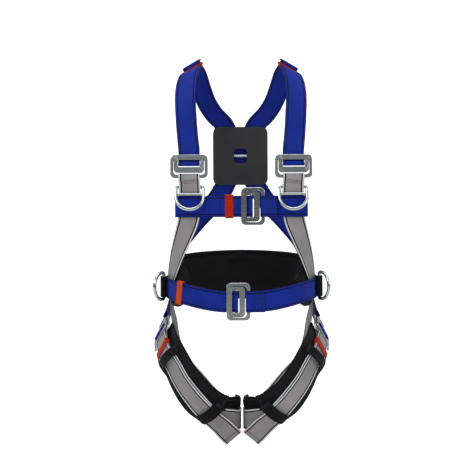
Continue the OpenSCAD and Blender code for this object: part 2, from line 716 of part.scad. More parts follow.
own() {
  shoulder_strap_left();
  shoulder_strap_right();
  chest_web(LEFT);  // chest_web_left
  chest_web(RIGHT);  // chest_web_right
  leg_strap(LEFT);  // leg_strap_left
  leg_strap(RIGHT);  // leg_strap_right
  chest_strap_left();
  chest_strap_right();
  waist_belt();
  waist_pad();
  belt_loops();
  thigh_pad(LEFT);  // thigh_pad_left
  thigh_pad(RIGHT);  // thigh_pad_right
  thigh_tunnel(LEFT);  // thigh_tunnel_left
  thigh_tunnel(RIGHT);  // thigh_tunnel_right
  thigh_sleeve(LEFT);  // thigh_sleeve_left
  thigh_sleeve(RIGHT);  // thigh_sleeve_right
  dorsal_plate();
  hip_ring_tab(LEFT);  // hip_ring_tab_left
  hip_ring_tab(RIGHT);  // hip_ring_tab_right
  buckle_ring(shoulder_frame(LEFT));  // shoulder_ring_left
  buckle_ring(shoulder_frame(RIGHT));  // shoulder_ring_right
  buckle_link(shoulder_frame(LEFT));  // shoulder_link_left
  buckle_link(shoulder_frame(RIGHT));  // shoulder_link_right
  buckle_ring(chest_frame);  // chest_ring
  buckle_link(chest_frame);  // chest_link
  buckle_ring(waist_frame);  // waist_ring
  buckle_link(waist_frame);  // waist_link
  buckle_ring(thigh_frame(LEFT));  // thigh_ring_left
  buckle_ring(thigh_frame(RIGHT));  // thigh_ring_right
  buckle_link(thigh_frame(LEFT));  // thigh_link_left
  buckle_link(thigh_frame(RIGHT));  // thigh_link_right
  chest_dring(LEFT);  // chest_dring_left
  chest_dring(RIGHT);  // chest_dring_right
  hip_dring(LEFT);  // hip_dring_left
  hip_dring(RIGHT);  // hip_dring_right
  dorsal_dring();
  chest_keeper();
  waist_keeper();
  shoulder_keeper(LEFT);  // shoulder_keeper_left
  shoulder_keeper(RIGHT);  // shoulder_keeper_right
  thigh_keeper(LEFT);  // thigh_keeper_left
  thigh_keeper(RIGHT);  // thigh_keeper_right
}
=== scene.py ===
"""Looks of the full-body safety harness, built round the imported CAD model. Metres, Z up."""
import json
import math

import bmesh
import bpy
import numpy as np
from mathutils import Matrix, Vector


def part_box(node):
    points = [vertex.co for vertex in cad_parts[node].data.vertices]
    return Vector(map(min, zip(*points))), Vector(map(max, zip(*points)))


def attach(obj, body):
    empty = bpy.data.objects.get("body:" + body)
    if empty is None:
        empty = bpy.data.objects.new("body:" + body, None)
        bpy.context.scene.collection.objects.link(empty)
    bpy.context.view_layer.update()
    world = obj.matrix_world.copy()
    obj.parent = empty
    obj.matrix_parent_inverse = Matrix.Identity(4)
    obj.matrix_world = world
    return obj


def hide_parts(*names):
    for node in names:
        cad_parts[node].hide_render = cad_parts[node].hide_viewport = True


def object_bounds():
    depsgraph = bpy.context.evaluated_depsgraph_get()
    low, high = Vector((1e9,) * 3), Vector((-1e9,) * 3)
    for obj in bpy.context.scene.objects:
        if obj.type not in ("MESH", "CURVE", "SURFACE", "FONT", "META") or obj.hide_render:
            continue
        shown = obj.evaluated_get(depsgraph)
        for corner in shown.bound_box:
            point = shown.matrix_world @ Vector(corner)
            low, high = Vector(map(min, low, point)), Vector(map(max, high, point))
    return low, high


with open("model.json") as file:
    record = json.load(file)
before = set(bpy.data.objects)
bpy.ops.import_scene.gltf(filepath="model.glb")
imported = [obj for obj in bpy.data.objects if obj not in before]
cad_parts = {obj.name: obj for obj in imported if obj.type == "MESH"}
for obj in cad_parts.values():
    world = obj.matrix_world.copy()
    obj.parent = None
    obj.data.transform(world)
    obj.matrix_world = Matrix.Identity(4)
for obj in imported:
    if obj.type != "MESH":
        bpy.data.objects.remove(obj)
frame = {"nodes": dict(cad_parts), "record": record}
cad_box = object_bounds()
NODES = frame["nodes"]
SLOT_OF = {s["node"]: s["material_slot"] for s in frame["record"]["subparts"]}
BODY_OF = {n: b for b, ns in frame["record"]["behaviour"]["bodies"].items() for n in ns}
ROOT = "harness"
MM = 0.001
SIDES = ("left", "right")
WEB_HALF = 22.5 * MM
WEB_STEP = 3.5 * MM
PAD_STEP = 5 * MM
PAD_CORNERS = 8


# ---------------------------------------------------------------- sections of a CAD strap
def unit(v):
    v = np.asarray(v, float)
    return v / np.maximum(np.linalg.norm(v, axis=-1, keepdims=True), 1e-12)


def merged(node):
    """Corner points of a CAD node and the neighbours of each."""
    bm = bmesh.new()
    bm.from_mesh(NODES[node].data)
    bmesh.ops.remove_doubles(bm, verts=bm.verts, dist=0.02 * MM)
    bm.verts.ensure_lookup_table()
    bm.verts.index_update()
    points = np.array([v.co for v in bm.verts])
    near = [set(e.other_vert(v).index for e in v.link_edges) for v in bm.verts]
    bm.free()
    return points, near


def groups(members, near):
    """Connected groups of the given points."""
    todo, found = set(members), []
    while todo:
        stack = [todo.pop()]
        group = set(stack)
        while stack:
            new = near[stack.pop()] & todo
            todo -= new
            group |= new
            stack += new
        found.append(sorted(group))
    return sorted(found)


def ring_axes(p):
    """Width and thickness directions of one section."""
    return np.linalg.svd(p - p.mean(0), full_matrices=False)[2][:2]


def in_order(p):
    """Order of a convex section's points round its centre."""
    q = (p - p.mean(0)) @ ring_axes(p).T
    q /= np.abs(q).max(0)
    return list(np.argsort(np.arctan2(q[:, 1], q[:, 0])))


def matched(before, p):
    """Order of the points of p that lines up with the section before it."""
    base = in_order(p)
    shifted = before + p.mean(0) - before.mean(0)
    turns = [base[k:] + base[:k] for k in range(len(base))]
    turns += [t[::-1] for t in turns]
    return min(turns, key=lambda t: np.linalg.norm(p[t] - shifted, axis=1).sum())


def sections(node, corners=4):
    """Centre, half width vector and half thickness vector of every section of a swept CAD node."""
    points, near = merged(node)
    odd = [i for i, n in enumerate(near) if len(n) != 6]
    start = next(g for g in groups(odd, near) if corners - 1 <= len(g) <= corners)
    if len(start) < corners:
        a, b, c = start
        spread = [np.linalg.norm(points[x] - points[y]) for x, y in ((b, c), (a, c), (a, b))]
        corner = start[int(np.argmax(spread))]
        ends = [i for i in start if i != corner]
        target = points[ends].sum(0) - points[corner]
        rest = set().union(*[near[i] for i in start]) - set(start)
        start = start + [min(rest, key=lambda i: np.linalg.norm(points[i] - target))]
    ring = [start[k] for k in in_order(points[start])]
    rings, seen = [ring], set(ring)
    while True:
        new = sorted(set().union(*[near[i] for i in rings[-1]]) - seen)
        if len(new) != corners:
            break
        rings.append([new[k] for k in matched(points[rings[-1]], points[new])])
        seen |= set(new)
    p = points[np.array(rings)]
    along = (p[0] - p[0].mean(0)) @ ring_axes(p[0])[0]
    right, left = np.argsort(along)[-2:], np.argsort(along)[:2]
    centre = p.mean(1)
    half_w = (p[:, right].mean(1) - p[:, left].mean(1)) / 2
    across = unit(p[:, right[0]] - p[:, right[1]])
    deep = np.abs(((p - centre[:, None]) * across[:, None]).sum(2)).max(1)
    return Path(centre, half_w, across * deep[:, None])


class Path:
    """A strap's centre line with its half width and half thickness vectors."""

    def __init__(self, centre, wide, deep):
        self.c, self.w, self.n = (np.asarray(a, float) for a in (centre, wide, deep))
        steps = np.linalg.norm(np.diff(self.c, axis=0), axis=1)
        self.s = np.concatenate([[0], np.cumsum(steps)])

    def length(self):
        return self.s[-1]

    def starting(self, score):
        """The same path, begun at the end whose centre scores higher."""
        if score(self.c[0]) >= score(self.c[-1]):
            return self
        return Path(self.c[::-1], self.w[::-1], self.n[::-1])

    def eased(self, rounds):
        """The path with its kinks averaged out; the two ends stay."""
        arrays = [self.c.copy(), self.w.copy(), self.n.copy()]
        for _ in range(rounds):
            for a in arrays:
                a[1:-1] = 0.25 * a[:-2] + 0.5 * a[1:-1] + 0.25 * a[2:]
        return Path(*arrays)

    def away_from(self, point):
        """The same path with its thickness vectors pointing away from a point, on the whole."""
        sign = 1 if ((self.c - np.asarray(point)) * unit(self.n)).sum() >= 0 else -1
        return Path(self.c, self.w, self.n * sign)

    def smooth(self, step):
        """Hermite curve through the sections, with no more than step between two."""
        c, s = self.c, self.s
        last = len(c) - 1
        slope = np.zeros_like(c)
        slope[0] = (c[1] - c[0]) / (s[1] - s[0])
        slope[last] = (c[last] - c[last - 1]) / (s[last] - s[last - 1])
        for i in range(1, last):
            a, b = s[i] - s[i - 1], s[i + 1] - s[i]
            slope[i] = ((c[i] - c[i - 1]) / a * b + (c[i + 1] - c[i]) / b * a) / (a + b)
        rows = []
        for i in range(last):
            gap = s[i + 1] - s[i]
            count = max(1, math.ceil(gap / step))
            for t in np.arange(count) / count:
                h = (2 * t**3 - 3 * t**2 + 1, t**3 - 2 * t**2 + t,
                     3 * t**2 - 2 * t**3, t**3 - t**2)
                point = (h[0] * c[i] + h[1] * gap * slope[i]
                         + h[2] * c[i + 1] + h[3] * gap * slope[i + 1])
                rows.append((point, self.mix(self.w, i, t), self.mix(self.n, i, t)))
        rows.append((c[last], self.w[last], self.n[last]))
        return Path(*(np.array(a) for a in zip(*rows)))

    @staticmethod
    def mix(v, i, t):
        size = (1 - t) * np.linalg.norm(v[i]) + t * np.linalg.norm(v[i + 1])
        return unit((1 - t) * v[i] + t * v[i + 1]) * size

    def at(self, s):
        """Centre, unit width, unit thickness and unit forward direction at a distance s."""
        k = int(np.clip(np.searchsorted(self.s, s) - 1, 0, len(self.s) - 2))
        t = (s - self.s[k]) / max(self.s[k + 1] - self.s[k], 1e-9)
        forward = unit(self.c[k + 1] - self.c[k])
        point = self.c[k] + (self.c[k + 1] - self.c[k]) * t
        out = unit(self.mix(self.n, k, min(max(t, 0), 1)))
        return point, unit(np.cross(out, forward)), out, forward

    def nearest(self, point, low=0.0, high=1.0):
        """Distance along the path of the section nearest a point, in a share of its length."""
        inside = (self.s >= low * self.s[-1]) & (self.s <= high * self.s[-1])
        gap = np.linalg.norm(self.c - np.asarray(point, float), axis=1)
        return self.s[int(np.argmin(np.where(inside, gap, np.inf)))]


# ---------------------------------------------------------------- mesh helpers
def new_object(name, verts, faces, uvs=None):
    """Smooth-shaded mesh object; uvs holds one pair for each vertex or for each face corner."""
    mesh = bpy.data.meshes.new(name)
    mesh.from_pydata([tuple(v) for v in verts], [], [tuple(f) for f in faces])
    if uvs is not None:
        layer = mesh.uv_layers.new(name="UVMap")
        flat = [uvs[k] for f in faces for k in f] if len(uvs) == len(verts) else uvs
        layer.data.foreach_set("uv", np.array(flat, np.float32).ravel())
    mesh.polygons.foreach_set("use_smooth", [True] * len(mesh.polygons))
    mesh.update()
    obj = bpy.data.objects.new(name, mesh)
    bpy.context.scene.collection.objects.link(obj)
    return obj


def sweep(name, rows, profile, closed=False, u_of=None):
    """Solid swept through rows of (origin, x vector, y vector), with a closed profile of (x, y)."""
    m, n = len(profile), len(rows)
    verts = [o + x * px + y * py for o, x, y in rows for px, py in profile]
    width = [0.0]
    for (ax, ay), (bx, by) in zip(profile, profile[1:] + profile[:1]):
        width.append(width[-1] + math.hypot(bx - ax, by - ay))
    us = u_of or width[:-1]
    run, faces, uvs = 0.0, [], []
    for i in range(n if closed else n - 1):
        k = (i + 1) % n
        step = float(np.linalg.norm(rows[k][0] - rows[i][0]))
        for j in range(m):
            q = (j + 1) % m
            faces.append((i * m + j, i * m + q, k * m + q, k * m + j))
            uq = us[q] if (q or u_of) else width[-1]
            uvs += [(us[j], run), (uq, run), (uq, run + step), (us[j], run + step)]
        run += step
    if not closed:
        for i, turn in ((0, -1), (n - 1, 1)):
            loop = list(range(m))[::turn]
            faces.append(tuple(i * m + j for j in loop))
            uvs += [(us[j], run * (i > 0) + profile[j][1]) for j in loop]
    return new_object(name, verts, faces, uvs)


def arc(cx, cy, r, a0, a1, count):
    """Points of an arc in degrees."""
    return [(cx + r * math.cos(math.radians(a)), cy + r * math.sin(math.radians(a)))
            for a in np.linspace(a0, a1, count)]


def strap_profile(hw, ht):
    """Flat web with full-round selvedges that are a hair thicker than the field."""
    edge = hw - ht
    inner = [0.93 * edge, 0.86 * edge, 0.5 * edge, 0.0]
    top = [(x, ht * (0.93 if x < 0.9 * edge else 0.98)) for x in inner]
    top = top + [(-x, y) for x, y in top[-2::-1]]
    low = [(-x, -y) for x, y in top]
    return (arc(edge, 0, ht, -90, 90, 7) + top + arc(-edge, 0, ht, 90, 270, 7) + low)


def finish_piece(obj, node, material):
    """Gives a piece its material, and rides it on its node's body."""
    obj.data.materials.append(material)
    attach(obj, BODY_OF[node])
    return obj


# ---------------------------------------------------------------- materials
class Shader:
    """A small builder of node materials."""

    def __init__(self, name):
        self.mat = bpy.data.materials.new(name)
        self.mat.use_nodes = True
        self.tree = self.mat.node_tree
        self.bsdf = self.tree.nodes["Principled BSDF"]

    def add(self, kind, **settings):
        node = self.tree.nodes.new("ShaderNode" + kind)
        for key, value in settings.items():
            setattr(node, key, value)
        return node

    def put(self, socket, value):
        if isinstance(value, bpy.types.NodeSocket):
            self.tree.links.new(value, socket)
        elif value is not None:
            socket.default_value = value

    def math(self, op, a, b=None, c=None):
        node = self.add("Math", operation=op)
        for socket, value in zip(node.inputs, (a, b, c)):
            self.put(socket, value)
        return node.outputs[0]

    def step(self, value, low, high, out_low=0.0, out_high=1.0):
        node = self.add("MapRange", interpolation_type="SMOOTHSTEP")
        for key, v in zip(("Value", "From Min", "From Max", "To Min", "To Max"),
                          (value, low, high, out_low, out_high)):
            self.put(node.inputs[key], v)
        return node.outputs["Result"]

    def mix(self, share, a, b, blend="MIX"):
        node = self.add("Mix", data_type="RGBA", blend_type=blend)
        self.put(node.inputs["Factor"], share)
        self.put(node.inputs[6], a)
        self.put(node.inputs[7], b)
        return node.outputs[2]

    def noise(self, vector, scale, detail=3.0, rough=0.5):
        node = self.add("TexNoise")
        self.put(node.inputs["Vector"], vector)
        self.put(node.inputs["Scale"], scale)
        self.put(node.inputs["Detail"], detail)
        self.put(node.inputs["Roughness"], rough)
        return node.outputs["Fac"]

    def uv(self):
        node = self.add("UVMap", uv_map="UVMap")
        parts = self.add("SeparateXYZ")
        self.put(parts.inputs[0], node.outputs[0])
        return parts.outputs[0], parts.outputs[1]

    def place(self):
        return self.add("TexCoord").outputs["Object"]

    def bump(self, height, strength, distance):
        node = self.add("Bump")
        self.put(node.inputs["Height"], height)
        self.put(node.inputs["Strength"], strength)
        self.put(node.inputs["Distance"], distance)
        self.put(self.bsdf.inputs["Normal"], node.outputs[0])

    def wave(self, x):
        """A sine between 0 and 1."""
        turned = self.math("SINE", self.math("MULTIPLY", x, 2 * math.pi))
        return self.math("MULTIPLY_ADD", turned, 0.5, 0.5)

    def cloth(self, sheen, tint):
        b = self.bsdf.inputs
        b["Sheen Weight"].default_value = sheen
        b["Sheen Roughness"].default_value = 0.45
        b["Sheen Tint"].default_value = (*tint, 1)
        b["Specular IOR Level"].default_value = 0.1


def rgba(r, g, b):
    return (r, g, b, 1.0)


def chevron(sh, u, v, across=1.5 * MM, along=1.15 * MM):
    """Height of a herringbone weave: columns of slanted picks."""
    column = sh.math("DIVIDE", u, across)
    saw = sh.math("PINGPONG", column, 0.5)
    slant = sh.math("MULTIPLY_ADD", saw, 1.6, sh.math("DIVIDE", v, along))
    pick = sh.wave(slant)
    rib = sh.wave(sh.math("MULTIPLY", column, 2.0))
    return sh.math("MULTIPLY_ADD", pick, 0.65, sh.math("MULTIPLY", rib, 0.35))


def woven(name, field, bands, sheen=0.1, tint=(1, 1, 1), depth=0.45, rough=0.75):
    """Webbing: field colour, then (distance from the edge in mm, width, colour) lines."""
    sh = Shader(name)
    u, v = sh.uv()
    edge = sh.math("SUBTRACT", WEB_HALF, sh.math("ABSOLUTE", u))
    height = chevron(sh, u, v)
    place = sh.place()
    wobble = sh.math("MULTIPLY_ADD", sh.noise(place, 900.0, 2.0), 0.5 * MM, -0.25 * MM)
    edge = sh.math("ADD", edge, wobble)
    slow = sh.noise(place, 14.0, 4.0)
    thread = sh.noise(place, 1500.0, 2.0)
    colour = sh.mix(sh.step(slow, 0.3, 0.7), rgba(*[0.88 * c for c in field]),
                    rgba(*[1.1 * c for c in field]))
    for start, wide, tone in bands:
        soft = 0.18 * MM
        lo, hi = start * MM, (start + wide) * MM
        inside = sh.math("MULTIPLY", sh.step(edge, lo - soft, lo + soft),
                         sh.step(edge, hi - soft, hi + soft, 1.0, 0.0))
        colour = sh.mix(inside, colour, rgba(*tone))
    # Painted shade: the colour is darkened where the weave height is low, in the grooves between
    # picks, and given a random fine thread tone
    dark = sh.math("MULTIPLY_ADD", height, 0.4, 0.72)
    dark = sh.math("MULTIPLY", dark, sh.math("MULTIPLY_ADD", thread, 0.4, 0.8))
    shade = sh.add("CombineXYZ")
    for socket in shade.inputs:
        sh.put(socket, dark)
    colour = sh.mix(1.0, colour, shade.outputs[0], "MULTIPLY")
    patches = sh.step(sh.noise(place, 160.0), 0.5, 0.75)
    worn = sh.math("MULTIPLY", sh.step(edge, 0.9 * MM, 0.0), patches)
    colour = sh.mix(sh.math("MULTIPLY", worn, 0.35), colour, rgba(0.3, 0.3, 0.34))
    sh.put(sh.bsdf.inputs["Base Color"], colour)
    sh.put(sh.bsdf.inputs["Roughness"], sh.math("MULTIPLY_ADD", height, -0.12, rough))
    sh.cloth(sheen, tint)
    total = sh.math("ADD", height, sh.math("MULTIPLY", thread, 0.4))
    sh.bump(total, depth, 0.25 * MM)
    return sh.mat


def blue_webbing():
    navy = (0.003, 0.005, 0.038)
    return woven("blue_webbing", (0.007, 0.023, 0.26),
                 [(-2.0, 3.4, navy), (3.9, 2.6, navy)], 0.03, (0.4, 0.5, 1.0))


def grey_webbing():
    return woven("grey_webbing", (0.305, 0.292, 0.297),
                 [(-2.0, 2.3, (0.02, 0.02, 0.024)), (0.3, 3.1, (0.66, 0.66, 0.67)),
                  (3.4, 3.0, (0.004, 0.004, 0.005))], 0.03)


def black_webbing():
    return woven("black_webbing", (0.006, 0.006, 0.007), [], 0.02, depth=0.5, rough=0.75)


def pad_cloth():
    """Plain-woven polyester over foam: fine square weave that is the same without UVs."""
    sh = Shader("pad_cloth")
    place = sh.place()
    parts = sh.add("SeparateXYZ")
    sh.put(parts.inputs[0], place)
    threads = [sh.wave(sh.math("DIVIDE", axis, 1.3 * MM)) for axis in parts.outputs]
    weave = sh.math("ADD", sh.math("MULTIPLY", threads[0], threads[2]),
                    sh.math("MULTIPLY", threads[1], 0.5))
    slow = sh.noise(place, 22.0, 5.0, 0.6)
    lint = sh.step(sh.noise(place, 700.0, 1.0), 0.72, 0.8)
    colour = sh.mix(slow, rgba(0.0045, 0.0045, 0.005), rgba(0.013, 0.013, 0.0145))
    colour = sh.mix(sh.math("MULTIPLY", lint, 0.10), colour, rgba(0.12, 0.12, 0.13))
    sh.put(sh.bsdf.inputs["Base Color"], colour)
    sh.put(sh.bsdf.inputs["Roughness"], sh.math("MULTIPLY_ADD", slow, 0.15, 0.72))
    sh.cloth(0.03, (1, 1, 1))
    sh.bump(sh.math("ADD", weave, sh.math("MULTIPLY", slow, 1.2)), 0.35, 0.25 * MM)
    return sh.mat


def elastic(name, colour):
    """Flat woven elastic: fine ribs round the loop, paler where the edges fray."""
    sh = Shader(name)
    u, v = sh.uv()
    place = sh.place()
    rib = sh.wave(sh.math("DIVIDE", u, 1.1 * MM))
    pick = sh.wave(sh.math("DIVIDE", v, 0.8 * MM))
    slow = sh.noise(place, 60.0, 4.0)
    light = sh.step(sh.noise(place, 420.0), 0.55, 0.8)
    # Painted shade: each rib is darker in its valleys and paler on its crests, following the same
    # rib wave as the bump
    tone = sh.mix(rib, rgba(*[0.62 * c for c in colour]), rgba(*[1.15 * c for c in colour]))
    tone = sh.mix(sh.math("MULTIPLY", light, 0.3), tone, rgba(*[min(1, c + 0.2) for c in colour]))
    tone = sh.mix(sh.math("MULTIPLY", slow, 0.25), tone, rgba(*[0.5 * c for c in colour]))
    sh.put(sh.bsdf.inputs["Base Color"], tone)
    sh.put(sh.bsdf.inputs["Roughness"], 0.7)
    sh.cloth(0.08, (1.0, 0.5, 0.4))
    sh.bump(sh.math("MULTIPLY_ADD", pick, 0.3, rib), 0.5, 0.3 * MM)
    return sh.mat


def zinc(name, tone, rough, grain):
    """Bright zinc plate on steel: slightly cloudy gloss, fine handling marks, and sharp edges
    painted paler, partly as rubbed wear and partly as a painted highlight.
    """
    sh = Shader(name)
    place = sh.place()
    cloud = sh.noise(place, 38.0, 4.0, 0.55)
    fine = sh.noise(place, grain, 3.0, 0.6)
    stretched = sh.add("Mapping")
    stretched.inputs["Scale"].default_value = (1.0, 1.0, 14.0)
    sh.put(stretched.inputs["Vector"], place)
    marks = sh.step(sh.noise(stretched.outputs[0], 130.0), 0.64, 0.72)
    # Sharp edges are painted paler: partly rubbed zinc, partly a painted highlight standing in for
    # the bright rims that lamps give
    edge = sh.step(sh.add("NewGeometry").outputs["Pointiness"], 0.505, 0.57)
    colour = sh.mix(cloud, rgba(*[0.72 * c for c in tone]), rgba(*[1.15 * c for c in tone]))
    colour = sh.mix(sh.math("MULTIPLY", edge, 0.7), colour, rgba(0.86, 0.88, 0.88))
    sh.put(sh.bsdf.inputs["Base Color"], colour)
    sh.bsdf.inputs["Metallic"].default_value = 1.0
    base = sh.math("MULTIPLY_ADD", cloud, 0.10, rough)
    base = sh.math("MULTIPLY_ADD", marks, 0.10, base)
    sh.put(sh.bsdf.inputs["Roughness"], sh.math("MULTIPLY_ADD", edge, -0.05, base))
    sh.bump(sh.math("MULTIPLY_ADD", marks, -0.25, fine), 0.05, 0.12 * MM)
    return sh.mat


def plate_plastic():
    """Moulded black nylon with a spark-eroded grain."""
    sh = Shader("plate_plastic")
    place = sh.place()
    grain = sh.noise(place, 900.0, 2.0)
    slow = sh.noise(place, 30.0, 4.0)
    edge = sh.step(sh.add("NewGeometry").outputs["Pointiness"], 0.51, 0.58)
    colour = sh.mix(slow, rgba(0.010, 0.010, 0.011), rgba(0.022, 0.022, 0.024))
    colour = sh.mix(sh.math("MULTIPLY", edge, 0.4), colour, rgba(0.09, 0.09, 0.095))
    sh.put(sh.bsdf.inputs["Base Color"], colour)
    sh.put(sh.bsdf.inputs["Roughness"], sh.math("MULTIPLY_ADD", slow, 0.2, 0.42))
    sh.bump(grain, 0.25, 0.12 * MM)
    return sh.mat


def thread(name, colour):
    """Bonded sewing thread with a twist."""
    sh = Shader(name)
    u, v = sh.uv()
    twist = sh.wave(sh.math("ADD", sh.math("DIVIDE", v, 0.5 * MM), sh.math("DIVIDE", u, 1.2 * MM)))
    # Painted shade: the thread is darker in the grooves of its twist and paler on the crests,
    # following the same wave as the bump
    tone = sh.mix(twist, rgba(*[0.55 * c for c in colour]), rgba(*[1.2 * c for c in colour]))
    sh.put(sh.bsdf.inputs["Base Color"], tone)
    sh.bsdf.inputs["Roughness"].default_value = 0.5
    sh.cloth(0.2, (1, 1, 1))
    sh.bump(twist, 0.3, 0.1 * MM)
    return sh.mat


MATERIALS = {
    "blue_webbing": blue_webbing(),
    "grey_webbing": grey_webbing(),
    "black_webbing": black_webbing(),
    "pad_cloth": pad_cloth(),
    "plate_plastic": plate_plastic(),
    "forged_steel": zinc("forged_steel", (0.58, 0.62, 0.62), 0.12, 260.0),
    "pressed_steel": zinc("pressed_steel", (0.33, 0.365, 0.365), 0.2, 420.0),
    "red_elastic": elastic("red_elastic", (0.44, 0.018, 0.003)),
    "orange_elastic": elastic("orange_elastic", (0.56, 0.068, 0.016)),
}
THREAD = {
    "navy": thread("thread_navy", (0.006, 0.009, 0.06)),
    "maroon": thread("thread_maroon", (0.10, 0.012, 0.012)),
    "burgundy": thread("thread_burgundy", (0.32, 0.03, 0.035)),
    "black": thread("thread_black", (0.012, 0.012, 0.014)),
    "slate": thread("thread_slate", (0.045, 0.05, 0.07)),
}


# ---------------------------------------------------------------- webbing
STRAPS = {}
WEB_NODES = [n for n in NODES if SLOT_OF[n] in ("blue_webbing", "grey_webbing")]
WEB_NODES += [n for n in NODES if n.startswith(("thigh_tunnel", "thigh_sleeve", "hip_ring_tab"))]


# which end of a strap its path starts from: the higher score wins
FIRST_END = {"leg_strap": lambda c: c[2], "chest_web": lambda c: -c[2],
             "chest_strap": lambda c: -c[1], "waist_belt": lambda c: c[0],
             "shoulder_strap": lambda c: c[2], "hip_ring_tab": lambda c: -abs(c[0])}


def build_web(node):
    """One strap: smooth woven band through its CAD sections."""
    path = sections(node).smooth(WEB_STEP)
    for start, score in FIRST_END.items():
        if node.startswith(start):
            path = path.starting(score)
    STRAPS[node] = path
    hw = float(np.linalg.norm(path.w[0]))
    ht = float(np.linalg.norm(path.n[0]))
    profile = strap_profile(hw, ht)
    rows = [(c, w / hw, n / ht) for c, w, n in zip(path.c, path.w, path.n)]
    obj = sweep(node.replace("strap", "webbing") + "_woven", rows, profile,
                u_of=[p[0] for p in profile])
    finish_piece(obj, node, MATERIALS[SLOT_OF[node]])
    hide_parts(node)


# ---------------------------------------------------------------- stitching
STITCH, STITCH_GAP, STITCH_R = 2.8 * MM, 0.8 * MM, 0.5 * MM
# stitch rows of a folded strap end, as distances from the fold
FOLD_ROWS = [k * MM for k in (3, 5.5, 10.5, 13, 18)]
FOLD_HALF = 19 * MM


def stitch_mesh(name, places, material):
    """Short threads lying on a surface: each place is (centre, direction, outward)."""
    ring, verts, faces, uvs = 6, [], [], []
    shape = [(-0.5, 0.25), (-0.36, 0.85), (0.0, 1.0), (0.36, 0.85), (0.5, 0.25)]
    for centre, along, out in places:
        side, base = np.cross(out, along), len(verts)
        for t, r in shape:
            for k in range(ring):
                a = 2 * math.pi * k / ring
                verts.append(centre + along * t * STITCH
                             + (side * math.cos(a) + out * 0.75 * math.sin(a)) * r * STITCH_R)
                uvs.append((k * 0.4 * MM, (t + 0.5) * STITCH))
        for i in range(len(shape) - 1):
            for k in range(ring):
                q = (k + 1) % ring
                faces.append((base + i * ring + k, base + i * ring + q,
                              base + (i + 1) * ring + q, base + (i + 1) * ring + k))
        for i, turn in ((0, -1), (len(shape) - 1, 1)):
            faces.append(tuple(base + i * ring + k for k in list(range(ring))[::turn]))
    obj = new_object(name, verts, faces, uvs)
    obj.data.materials.append(material)
    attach(obj, ROOT)


def on_strap(path, s, u, inside):
    """Point on the face of a strap that looks away from a point inside, with its directions."""
    point, side, out, forward = path.at(s)
    if (point - inside) @ out < 0:
        out = -out
    height = float(np.linalg.norm(path.n[0])) + 0.25 * STITCH_R
    return point + side * u + out * height, side, out, forward


def seam(path, s0, u0, s1, u1, inside):
    """Stitches in a straight row between two places on a strap."""
    length = math.hypot(s1 - s0, u1 - u0)
    count = max(1, int(length / (STITCH + STITCH_GAP)))
    places = []
    for i in range(count):
        t = (i + 0.5) / count
        point, side, out, forward = on_strap(path, s0 + (s1 - s0) * t, u0 + (u1 - u0) * t, inside)
        places.append((point, unit(forward * (s1 - s0) + side * (u1 - u0)), out))
    return places


def rows_across(path, places, half, inside):
    """Several straight rows across a strap."""
    return [p for s in places for p in seam(path, s, -half, s, half, inside)]


def box_seam(path, s0, s1, half, inside):
    """The outline and the cross of a sewn box."""
    corners = ((s0, -half, s1, -half), (s0, half, s1, half), (s0, -half, s0, half),
               (s1, -half, s1, half), (s0, -half, s1, half), (s0, half, s1, -half))
    return [p for c in corners for p in seam(path, *c, inside)]


def middle(node):
    lo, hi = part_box(node)
    return np.array([(lo[k] + hi[k]) / 2 for k in range(3)])


def wearer(z):
    """The middle of the wearer at a height."""
    return np.array([0.0, middle("waist_belt")[1], z])


def sew_chest():
    """Seams that hold the chest rings and the folded end of the chest strap."""
    for side in SIDES:
        web = STRAPS["chest_web_" + side]
        lo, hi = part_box("chest_dring_" + side)
        ring = middle("chest_dring_" + side)
        s = web.nearest((ring[0], lo.y, hi.z)) + 1 * MM
        places = rows_across(web, [s + k * 3.2 * MM for k in (0, 1, 2)], 15.5 * MM, wearer(ring[2]))
        stitch_mesh("chest_ring_seam_" + side, places, THREAD["maroon"])
    fold = STRAPS["chest_strap_right"]
    places = rows_across(fold, FOLD_ROWS, FOLD_HALF, wearer(0))
    stitch_mesh("chest_fold_seam", places, THREAD["navy"])


def sew_belt():
    """Seam of the folded belt end beside the waist buckle, and of its loose end."""
    belt = STRAPS["waist_belt"]
    places = rows_across(belt, FOLD_ROWS, FOLD_HALF, wearer(0))
    end = belt.length()
    places += rows_across(belt, [end - 6 * MM, end - 10 * MM], 18 * MM, wearer(0))
    stitch_mesh("belt_fold_seam", places, THREAD["navy"])


def sew_tails():
    """Hem seams of the loose strap ends."""
    for side in SIDES:
        tail = STRAPS["leg_strap_" + side]
        leg = middle("leg_strap_" + side)
        end = tail.length()
        places = rows_across(tail, [end - 13 * MM, end - 15 * MM], 20 * MM, leg)
        stitch_mesh("leg_hem_" + side, places, THREAD["burgundy"])
        strap = STRAPS["shoulder_strap_" + side]
        places = rows_across(strap, [7 * MM, 10 * MM], 18 * MM, strap.at(0)[0] - (0, 0, 0.2))
        stitch_mesh("shoulder_hem_" + side, places, THREAD["navy"])


def sew_hips():
    """Boxes that join the chest, shoulder and leg webs behind the hips, and the ring tabs."""
    for side in SIDES:
        web = STRAPS["chest_web_" + side]
        places = box_seam(web, 6 * MM, 38 * MM, 16 * MM, wearer(0))
        stitch_mesh("hip_join_" + side, places, THREAD["slate"])
        tab = STRAPS["hip_ring_tab_" + side]
        end = tab.length()
        places = box_seam(tab, end - 4 * MM, end - 26 * MM, 16 * MM, wearer(0))
        stitch_mesh("hip_tab_seam_" + side, places, THREAD["slate"])


def sew_sleeves():
    """Bartacks at both ends of every sleeve on the thigh pads."""
    for node in [n for n in STRAPS if n.startswith(("thigh_tunnel", "thigh_sleeve"))]:
        path = STRAPS[node]
        inside = middle("leg_strap_" + node.rsplit("_", 1)[1])
        half = float(np.linalg.norm(path.w[0])) - 2 * MM
        ends = [2.5 * MM, path.length() - 3 * MM, path.length() - 8 * MM]
        stitch_mesh(node + "_seam", rows_across(path, ends, half, inside), THREAD["slate"])


